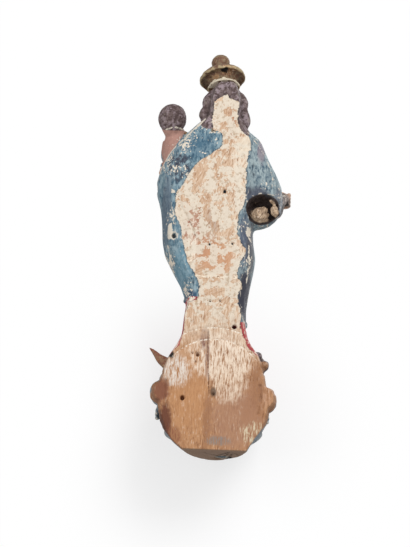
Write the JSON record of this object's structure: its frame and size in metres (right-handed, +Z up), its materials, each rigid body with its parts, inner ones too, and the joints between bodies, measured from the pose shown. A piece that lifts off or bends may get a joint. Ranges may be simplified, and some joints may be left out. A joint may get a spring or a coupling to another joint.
{
  "type": "virgin and child statue",
  "caption": "Small painted wooden Virgin holding the child, standing on a round cloud base, with a turned crown and a flat bare back.",
  "frame": {"origin": "on the flat underside of the cloud base, below the figure's axis", "axes": "+Z up, -Y is the carved front, +Y the flat bare back, +X the side of the child"},
  "size_m": [0.0931, 0.0799, 0.2789],
  "materials": {
    "painted_wood": "worn paint over bare wood, matte",
    "gilt_wood": "old gilding, dulled",
    "horn_wood": "worn gilding over red ground"
  },
  "bodies": {
    "root": {"statue": "painted_wood", "crown": "gilt_wood", "moon_horn": "horn_wood"}
  },
  "joints": []
}
